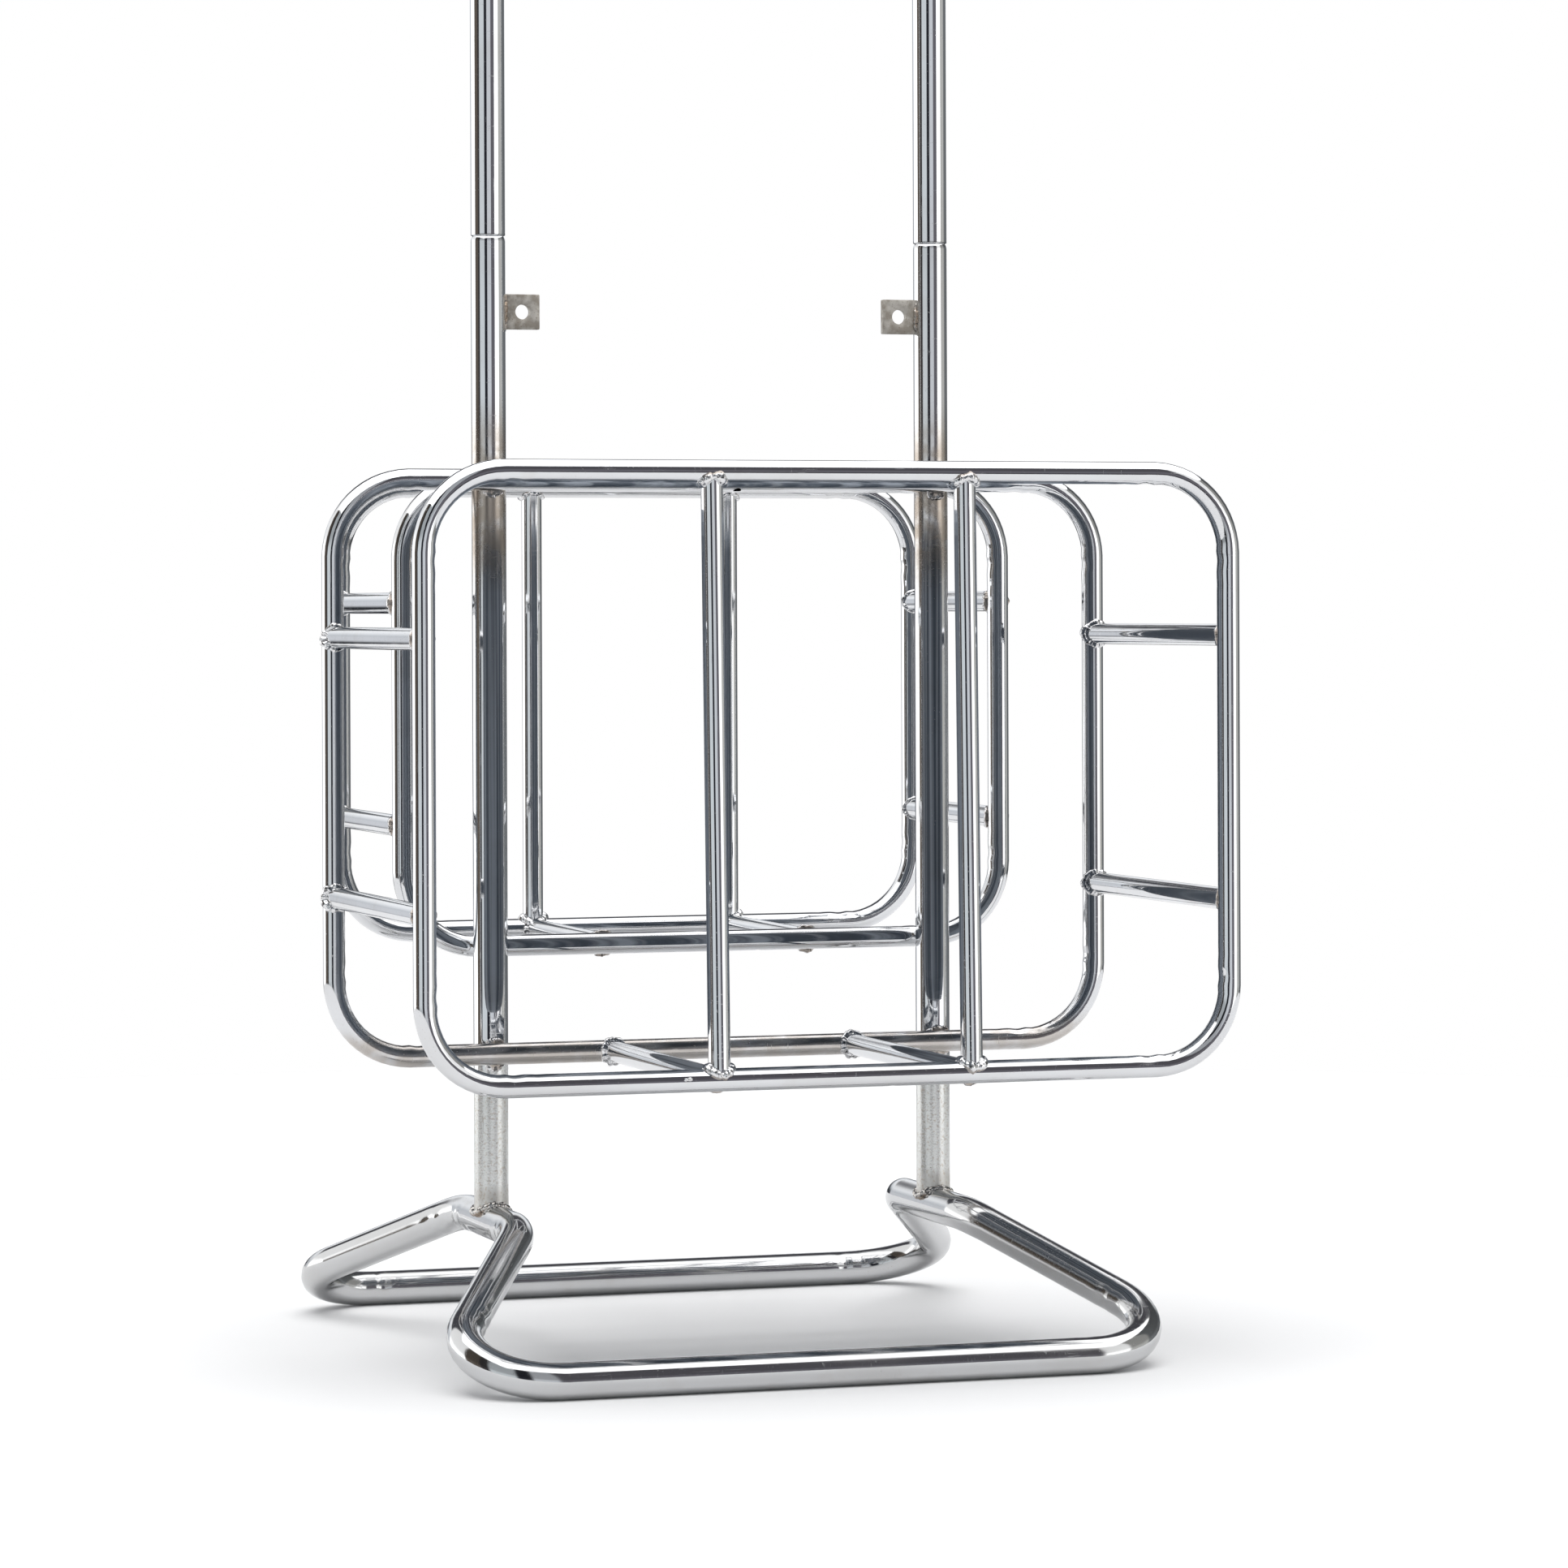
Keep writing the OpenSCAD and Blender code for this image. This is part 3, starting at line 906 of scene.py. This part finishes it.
@dataclass
class SignFrame:
    """The lift-off frame: a tube bent to an upside-down U over the two posts."""

    bend: float = 60 * MM
    rim: float = 0.35 * MM
    stock: Stock = HEAVY_POST

    def build(self) -> None:
        """Bends and dresses the frame."""
        low, high = corners_of("sign_frame")
        r = self.stock.radius
        mid = (low + high) / 2
        left, right, top = low.x + r, high.x - r, high.z - r
        line = ((left, low.z), (left, top), (right, top), (right, low.z))
        points = [Vector((x, mid.y, z)) for x, z in line]
        bench = TubeBench("sign_frame_tube", self.stock, points[0], Z)
        for before, corner, after in zip(points, points[1:], points[2:]):
            bend = Bend.at(before, corner, after, self.bend)
            bench.straight(bend.start)
            bench.turn(bend)
        bench.straight(points[-1])
        piece = bench.finish()
        modify(piece, "SOLIDIFY", thickness=self.stock.wall, offset=-1.0)
        round_rims(piece, self.rim)
        enter(piece, FRAME_CHROME.make(), Body.SIGN_FRAME, "sign_frame")


@dataclass
class SignTabs:
    """The four drilled tabs that hold a sign between the posts."""

    hole: float = 5.5 * MM
    round: float = 0.9 * MM
    edge: float = 0.35 * MM
    bite: float = 1 * MM
    reach: float = 10 * MM

    def build(self) -> None:
        """Cuts, drills and dresses the tabs."""
        finish = TAB_STEEL.make()
        for node, body in (
            ("left_sign_tab", Body.STAND),
            ("right_sign_tab", Body.STAND),
            ("upper_left_sign_tab", Body.SIGN_FRAME),
            ("upper_right_sign_tab", Body.SIGN_FRAME),
        ):
            low, high = corners_of(node)
            size = high.z - low.z
            inner = high.x if low.x < 0 else low.x
            toward = -1 if inner < 0 else 1
            centre = Vector((inner + toward * size / 2, (low.y + high.y) / 2, (low.z + high.z) / 2))
            scale = (size + 2 * self.bite, high.y - low.y, size)
            place = centre + X * toward * self.bite
            cube = bpy.ops.mesh.primitive_cube_add
            piece = begin(cube, f"{node}_plate", scale, size=1, location=place)
            bpy.ops.object.mode_set(mode="EDIT")
            shape = bmesh.from_edit_mesh(piece.data)
            for edge in shape.edges:
                a, b = (v.co for v in edge.verts)
                edge.select = abs((a - b).normalized().y) > 0.9
            bmesh.update_edit_mesh(piece.data)
            bpy.ops.mesh.bevel(offset=self.round, segments=4, affect="EDGES")
            bpy.ops.object.mode_set(mode="OBJECT")
            drill(piece, centre - Y * self.reach, Y, self.hole, 2 * self.reach)
            round_rims(piece, self.edge)
            enter(piece, finish, body, node, 30.0)


class Way(Enum):
    """Which way the cage opens out from its loop at the posts."""

    FORWARD = -1
    BACKWARD = 1


@dataclass
class Cage:
    """One gauge cage: two bent loops, two uprights, two floor bars and four side bars."""

    prefix: str
    near: str
    far: str
    way: Way
    near_chrome: Chrome
    head_share: float
    bend: float = 56 * MM
    lean: float = 0.0
    drain: float = 3 * MM
    drain_place: float = 40 * MM
    near_drain: tuple = (40 * MM, False, 0.0)
    bead: BeadShape = BeadShape(2.9 * MM)
    foot_share: float = 1.15
    corner_share: float = 0.65
    back_share: float = 0.85
    bar_share: float = 0.5
    bar_end_share: float = 0.9
    mount_size: tuple = (7.2, 4.2, 5.0)
    mount_reach: float = 13.6 * MM
    mount_rise: float = 7.6 * MM
    sag: float = 0.6 * MM
    beads: list = field(default_factory=list)

    def loop(self, node: str, chrome: Chrome, drain: tuple) -> None:
        """Bends one loop and drills its drain hole.

        Args:
            node: The loop's node.
            chrome: Its finish.
            drain: The hole's place along X, whether it is under the top tube and not
                under the bottom one, and its tilt to the front in degrees.
        """
        drain_x, upper, tilt = drain
        low, high = corners_of(node)
        r = LOOP.radius
        y = (low.y + high.y) / 2
        left, right, bottom, top = low.x + r, high.x - r, low.z + r, high.z - r
        line = ((left, bottom), (right, bottom), (right, top), (left, top))
        corners = [Vector((x, y, z)) for x, z in line]
        hole = Vector((drain_x, y, top if upper else bottom))
        piece = closed_tube(f"{node}_tube", LOOP, corners, [self.bend] * 4, [hole])
        modify(piece, "SOLIDIFY", thickness=LOOP.wall, offset=-1.0)
        lean = math.radians(tilt)
        down = Vector((0, -math.sin(lean), -math.cos(lean)))
        drill(piece, hole, down, self.drain, 2 * r)
        enter(piece, chrome.make(), Body.STAND, node)

    def bar(self, node: str, start: Vector, end: Vector, across: Vector, finish: Material) -> None:
        """Makes one coped bar."""
        piece = coped_bar(f"{node}_tube", start, end, across)
        enter(piece, finish, Body.STAND, node)

    def weld(self, at: Vector, out: Vector, across: Vector, share: float = 1.0) -> None:
        """Lays one bead round the end of a bar."""
        shape = BeadShape(self.bead.size * share, self.bead.lumps, self.bead.ripples)
        self.beads.append(ring_bead(at, out, across, BAR.radius, LOOP.radius, shape))

    def spatter(self, joint: Vector) -> None:
        """Leaves two droplets of weld metal on the loop beside a joint."""
        for index in range(2):
            seed = joint * 90 + Vector((index * 7.3, 1.7, 0.4))
            along = (2 * noise.noise(seed) - 24 - 2.4 * index) * MM
            turn = math.radians(12 + 30 * noise.noise(seed + Y * 5))
            radius = (1.2 + 0.5 * noise.noise(seed + Z * 9)) * MM
            skin = Vector((0, self.way.value * math.cos(turn), math.sin(turn)))
            at = joint + X * along + skin * (LOOP.radius + 0.2 * radius)
            sizes = Vector((1.3 * radius, radius, radius))
            drop = blob_bead(at, sizes, BeadShape(1.0, 0.4, 3), sides=16, toe=0.0)
            self.beads.append(drop)

    def build(self) -> None:
        """Builds the loops, the bars and all their beads."""
        near_loop, far_loop = (f"{self.prefix}_{end}_loop" for end in (self.near, self.far))
        near_y, far_y = middle(near_loop).y, middle(far_loop).y
        low, high = corners_of(far_loop)
        r = LOOP.radius
        bottom, top = low.z + r, high.z - r
        self.loop(near_loop, self.near_chrome, self.near_drain)
        self.loop(far_loop, CAGE_CHROME, (self.drain_place, False, 0.0))
        finish = CAGE_CHROME.make()
        inward = Y * -self.way.value
        for side in ("left", "right"):
            upright = f"{self.prefix}_{side}_upright"
            mid = middle(upright).x
            foot = Vector((mid + self.lean / 2, far_y, bottom))
            head = Vector((mid - self.lean / 2, far_y, top))
            self.bar(upright, foot, head, X, finish)
            back = Vector((foot.x, near_y, bottom))
            self.bar(f"{self.prefix}_{side}_floor_bar", foot, back, X, finish)
            rise = (head - foot).normalized()
            self.weld(foot, rise, X, self.foot_share)
            self.weld(foot, inward, X, self.corner_share)
            self.weld(head, -rise, X, self.head_share)
            self.weld(back, -inward, X, self.back_share)
            if side == "left" and self.way is Way.FORWARD:
                self.spatter(foot)
            x = (low.x + r) if side == "left" else (high.x - r)
            for level in ("high", "low"):
                node = f"{self.prefix}_{side}_{level}_bar"
                z = middle(node).z
                start, end = Vector((x, far_y, z)), Vector((x, near_y, z))
                self.bar(node, start, end, Z, finish)
                self.weld(start, inward, Z, self.bar_share)
                self.weld(end, -inward, Z, self.bar_end_share)
        lay_down(self.beads, BEAD_METAL, f"{self.prefix}_beads", f"{self.prefix}_welds")
        self.mount(near_loop)

    def mount(self, near_loop: str) -> None:
        """Lays the beads that hold the near loop to the posts."""
        blobs = []
        low, high = corners_of(near_loop)
        shape = BeadShape(1.0, 0.45, 6)
        for post in ("left_post", "right_post"):
            place = middle(post)
            y = place.y + self.way.value * self.mount_reach
            for z in (low.z + LOOP.radius, high.z - LOOP.radius):
                for up in (-1, 1):
                    at = Vector((place.x, y, z + up * self.mount_rise))
                    blobs.append(blob_bead(at, Vector(self.mount_size) * MM, shape, self.sag))
        node = f"{self.prefix}_mount_welds"
        lay_down(blobs, BEAD_METAL, f"{self.prefix}_mount_beads", node)


@dataclass
class SmallWelds:
    """The beads at the feet of the posts and along the tabs."""

    foot_bead: BeadShape = BeadShape(2.5 * MM, 0.45, 21)
    tab_bead: BeadShape = BeadShape(1.0, 0.35, 8)
    tab_size: tuple = (2.2, 2.0, 11.6)
    tab_reach: float = 12.2 * MM
    tab_gap: float = 0.4 * MM

    def feet(self) -> None:
        """Lays the foot beads."""
        beads = []
        for post in ("left_post", "right_post"):
            at = middle(post)
            at.z = SADDLE_HEIGHT
            radii = (HEAVY_POST.radius, HEAVY_BASE.radius)
            beads.append(ring_bead(at, Z, Y, *radii, self.foot_bead))
        lay_down(beads, FOOT_METAL, "post_foot_beads", "post_foot_welds")

    def tabs(self, node: str, tabs: Sequence[str], body: Body) -> None:
        """Lays a bead on each face of two tabs."""
        beads = []
        for tab in tabs:
            low, high = corners_of(tab)
            toward = -1 if low.x < 0 else 1
            root = middle("left_post" if toward < 0 else "right_post")
            x, z = root.x - toward * self.tab_reach, (low.z + high.z) / 2
            for y in (low.y - self.tab_gap, high.y + self.tab_gap):
                sizes = Vector(self.tab_size) * MM
                beads.append(blob_bead(Vector((x, y, z)), sizes, self.tab_bead))
        lay_down(beads, FOOT_METAL, f"{node}_beads", node, body)

    def build(self) -> None:
        """Lays all of them."""
        self.feet()
        self.tabs("tab_welds", ["left_sign_tab", "right_sign_tab"], Body.STAND)
        upper = ["upper_left_sign_tab", "upper_right_sign_tab"]
        self.tabs("upper_tab_welds", upper, Body.SIGN_FRAME)


# ---- studio


def rising(marks: Iterable[tuple]) -> list[tuple[float, tuple]]:
    """Returns marks at elevations in degrees as the stops of a ramp from nadir to zenith."""
    tones = [(angle, tone if isinstance(tone, tuple) else (tone,) * 3) for angle, tone in marks]
    return [(0.5 + angle / 180, tone) for angle, tone in tones]


@dataclass
class Studio:
    """The camera, the pale floor, the soft lights and the walls that the chrome mirrors."""

    lens: float = 125.66
    shift: tuple = (-0.0015, -0.1135)
    place: tuple = (-1.2140, -3.9053, 0.5468)
    yaw: float = 0.3144
    roll: float = -0.0037
    floor: float = 2.4
    sun: float = 2.1
    box_size: tuple = (3.4, 2.5, 1)
    box_place: tuple = (0, -0.32, 1.82)
    box_glow: float = 1.8
    card_width: float = 0.52
    card_height: float = 0.37
    card_gap: float = 0.05
    card_round: float = 0.03
    soft: float = 1.6  # half the width of the edge between two panels, in degrees
    # the walls round the horizon: where each panel starts, in degrees, and its colour
    panels: tuple = (
        (-180, (0.05, 0.055, 0.065)),
        (-152, (0.68, 0.70, 0.74)),
        (-137, (1.75, 1.75, 1.75)),
        (-93.5, (0.125, 0.105, 0.088)),
        (-68, (0.050, 0.046, 0.048)),
        (-54, (0.70, 0.745, 0.775)),
        (-20, (0.022, 0.023, 0.030)),
        (-2, (0.68, 0.705, 0.745)),
        (24, (0.150, 0.145, 0.165)),
        (48.5, (1.75, 1.75, 1.75)),
        (78, (0.54, 0.54, 0.52)),
        (110, (0.21, 0.22, 0.225)),
    )
    # ramps by elevation: the degrees above the horizon, and the grey or colour there
    shade: tuple = ((-90, 0.45), (-9, 0.5), (-5, 1.0), (6, 1.0), (14, 0.6), (90, 0.5))
    rise: tuple = ((2, 0.0), (7, 1.0))
    tall: tuple = (
        (6, (0.62, 0.65, 0.69)),
        (13, (1.0, 1.02, 1.05)),
        (17, (0.90, 0.91, 0.93)),
        (21, (0.07, 0.07, 0.08)),
    )
    above: tuple = ((52, 0.0), (60, 1.0))
    # how much of the ramp "tall" shows round the horizon, from 0 to 1 of a turn
    rear: tuple = ((0.0, 1.0), (0.118, 1.0), (0.122, 0.0), (0.925, 0.0), (0.945, 1.0))

    def camera(self) -> None:
        """Places the camera."""
        data = bpy.data.cameras.new("camera")
        data.lens, data.sensor_width = self.lens, 36
        data.shift_x, data.shift_y = self.shift
        camera = bpy.data.objects.new("camera", data)
        bpy.context.collection.objects.link(camera)
        camera.matrix_world = (
            Matrix.Translation(self.place)
            @ Matrix.Rotation(-self.yaw, 4, "Z")
            @ Matrix.Rotation(math.pi / 2, 4, "X")
            @ Matrix.Rotation(self.roll, 4, "Z")
        )
        bpy.context.scene.camera = camera

    def ground(self) -> None:
        """Lays the pale floor, painted paler to the camera than in its reflections."""
        disc = {"vertices": 128, "radius": self.floor, "fill_type": "NGON"}
        piece = begin(bpy.ops.mesh.primitive_circle_add, "studio_floor", **disc)
        mix = Recipe("pale paper")
        colour = mix.blend(mix.cloud(1.2, 2.0), (0.74, 0.74, 0.745), (0.76, 0.76, 0.765))
        # painted light and shade: the floor is paler to the camera (0.90) than to every other ray
        # (about 0.75), so the chrome mirrors a darker, shaded floor than the eye sees
        seen = mix.new("LightPath").outputs["Is Camera Ray"]
        colour = mix.blend(seen, colour, (0.90, 0.90, 0.90))
        dress(piece, mix.serve(colour, 0.9, mix.bump(mix.cloud(300.0), 0.02 * MM), 0.0))

    def lamp(self) -> None:
        """Hangs the broad soft light above the stand."""
        data = bpy.data.lights.new("overhead", "SUN")
        data.energy, data.angle = self.sun, math.radians(60)
        lamp = bpy.data.objects.new("overhead", data)
        lamp.rotation_euler = (math.radians(8), math.radians(-4), 0)
        bpy.context.collection.objects.link(lamp)
        lamp.visible_glossy = False

    def softbox(self) -> None:
        """Hangs the long soft box that only the chrome mirrors."""
        cells = {"x_subdivisions": 4, "y_subdivisions": 4, "size": 1}
        sheet = bpy.ops.mesh.primitive_grid_add
        piece = begin(sheet, "studio_softbox", self.box_size, location=self.box_place, **cells)
        glow = Recipe("soft box cloth")
        cloth = glow.blend(glow.cloud(3.0), (0.98, 0.98, 1.0), (1.0, 1.0, 1.0))
        light = glow.new("Emission", {"Color": cloth, "Strength": self.box_glow})
        glow.link(light.outputs[0], glow.out.inputs[0])
        dress(piece, glow.material)
        piece.visible_camera = piece.visible_diffuse = piece.visible_shadow = False

    def flag(self) -> None:
        """Stands a dark card in the front cage, seen by the chrome and the floor only."""
        back, front = middle("carry_on_rear_loop"), middle("carry_on_front_loop")
        size = (self.card_width, abs(back.y - front.y) - self.card_gap, self.card_height)
        cube = bpy.ops.mesh.primitive_cube_add
        piece = begin(cube, "studio_flag", size, size=1, location=(back + front) / 2)
        modify(piece, "BEVEL", width=self.card_round, segments=4)
        card = Recipe("dark card")
        folds = card.cloud(1.0, 3.0, card.stretched((55, 6, 1.5)))
        colour = card.blend(card.span(folds, 0.4, 0.66), (0.045, 0.060, 0.082), (0.26, 0.29, 0.33))
        dress(piece, card.serve(colour, 0.6, card.bump(card.cloud(300.0), 0.1 * MM), 0.0))
        piece.visible_camera = False

    def around(self) -> list[tuple[float, tuple]]:
        """Returns the panels as the stops of a ramp round the horizon."""
        first, soft = self.panels[0][1], self.soft / 360
        stops = [(0.0, first)]
        for (_, before), (start, colour) in zip(self.panels, self.panels[1:]):
            edge = start / 360 + 0.5
            stops += [(edge - soft, before), (edge + soft, colour)]
        return [*stops, (1.0, first)]

    def walls(self) -> None:
        """Paints the surroundings: plain white to the eye, panels to the chrome."""
        world = bpy.data.worlds.new("studio")
        bpy.context.scene.world = world
        world.use_nodes = True
        sky = Nodes(world.node_tree)
        view = sky.new("TexCoord").outputs["Generated"]
        toward = Vector((-math.sin(self.yaw), -math.cos(self.yaw), 0))
        right = Vector((math.cos(self.yaw), -math.sin(self.yaw), 0))
        turn = sky.step("ARCTAN2", sky.along(view, right), sky.along(view, toward))
        turn = sky.step("ADD", sky.step("DIVIDE", turn, 2 * math.pi), 0.5)
        height = sky.step("ARCSINE", sky.along(view, Z))
        level = sky.step("ADD", sky.step("DIVIDE", height, math.pi), 0.5)
        bands = sky.ramp(turn, self.around())
        bands = sky.blend(1.0, bands, sky.ramp(level, rising(self.shade)), "MULTIPLY")
        rear = sky.ramp(turn, [(share, (grey,) * 3) for share, grey in self.rear])
        rise = sky.ramp(level, rising(self.rise))
        bands = sky.blend(sky.times(rear, rise), bands, sky.ramp(level, rising(self.tall)))
        mirrored = sky.blend(sky.ramp(level, rising(self.above)), bands, (0.72, 0.73, 0.74))
        path = sky.new("LightPath")
        plain = sky.blend(path.outputs["Is Camera Ray"], (0.62, 0.625, 0.635), (1.0, 1.0, 1.0))
        seen = sky.blend(path.outputs["Is Glossy Ray"], plain, mirrored)
        sky.new("OutputWorld", {0: sky.new("Background", {0: seen}).outputs[0]})

    def build(self) -> None:
        """Sets up the studio."""
        self.camera()
        self.ground()
        self.lamp()
        self.softbox()
        self.flag()
        self.walls()
        view = bpy.context.scene.view_settings
        view.view_transform, view.look = "Standard", "None"
        log.info("studio ready")


def main() -> None:
    """Builds the stand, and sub-assembly by sub-assembly."""
    logging.basicConfig(level=logging.INFO, format="%(message)s")
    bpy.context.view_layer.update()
    Studio().build()
    BaseRing().build()
    Posts().build()
    SignFrame().build()
    SignTabs().build()
    forward = {"lean": 4 * MM, "near_drain": (12 * MM, True, 22.0)}
    Cage("carry_on", "rear", "front", Way.FORWARD, REAR_CHROME, 1.3, **forward).build()
    Cage("personal", "inner", "outer", Way.BACKWARD, CAGE_CHROME, 0.8).build()
    SmallWelds().build()


if __name__ == "__main__":
    main()
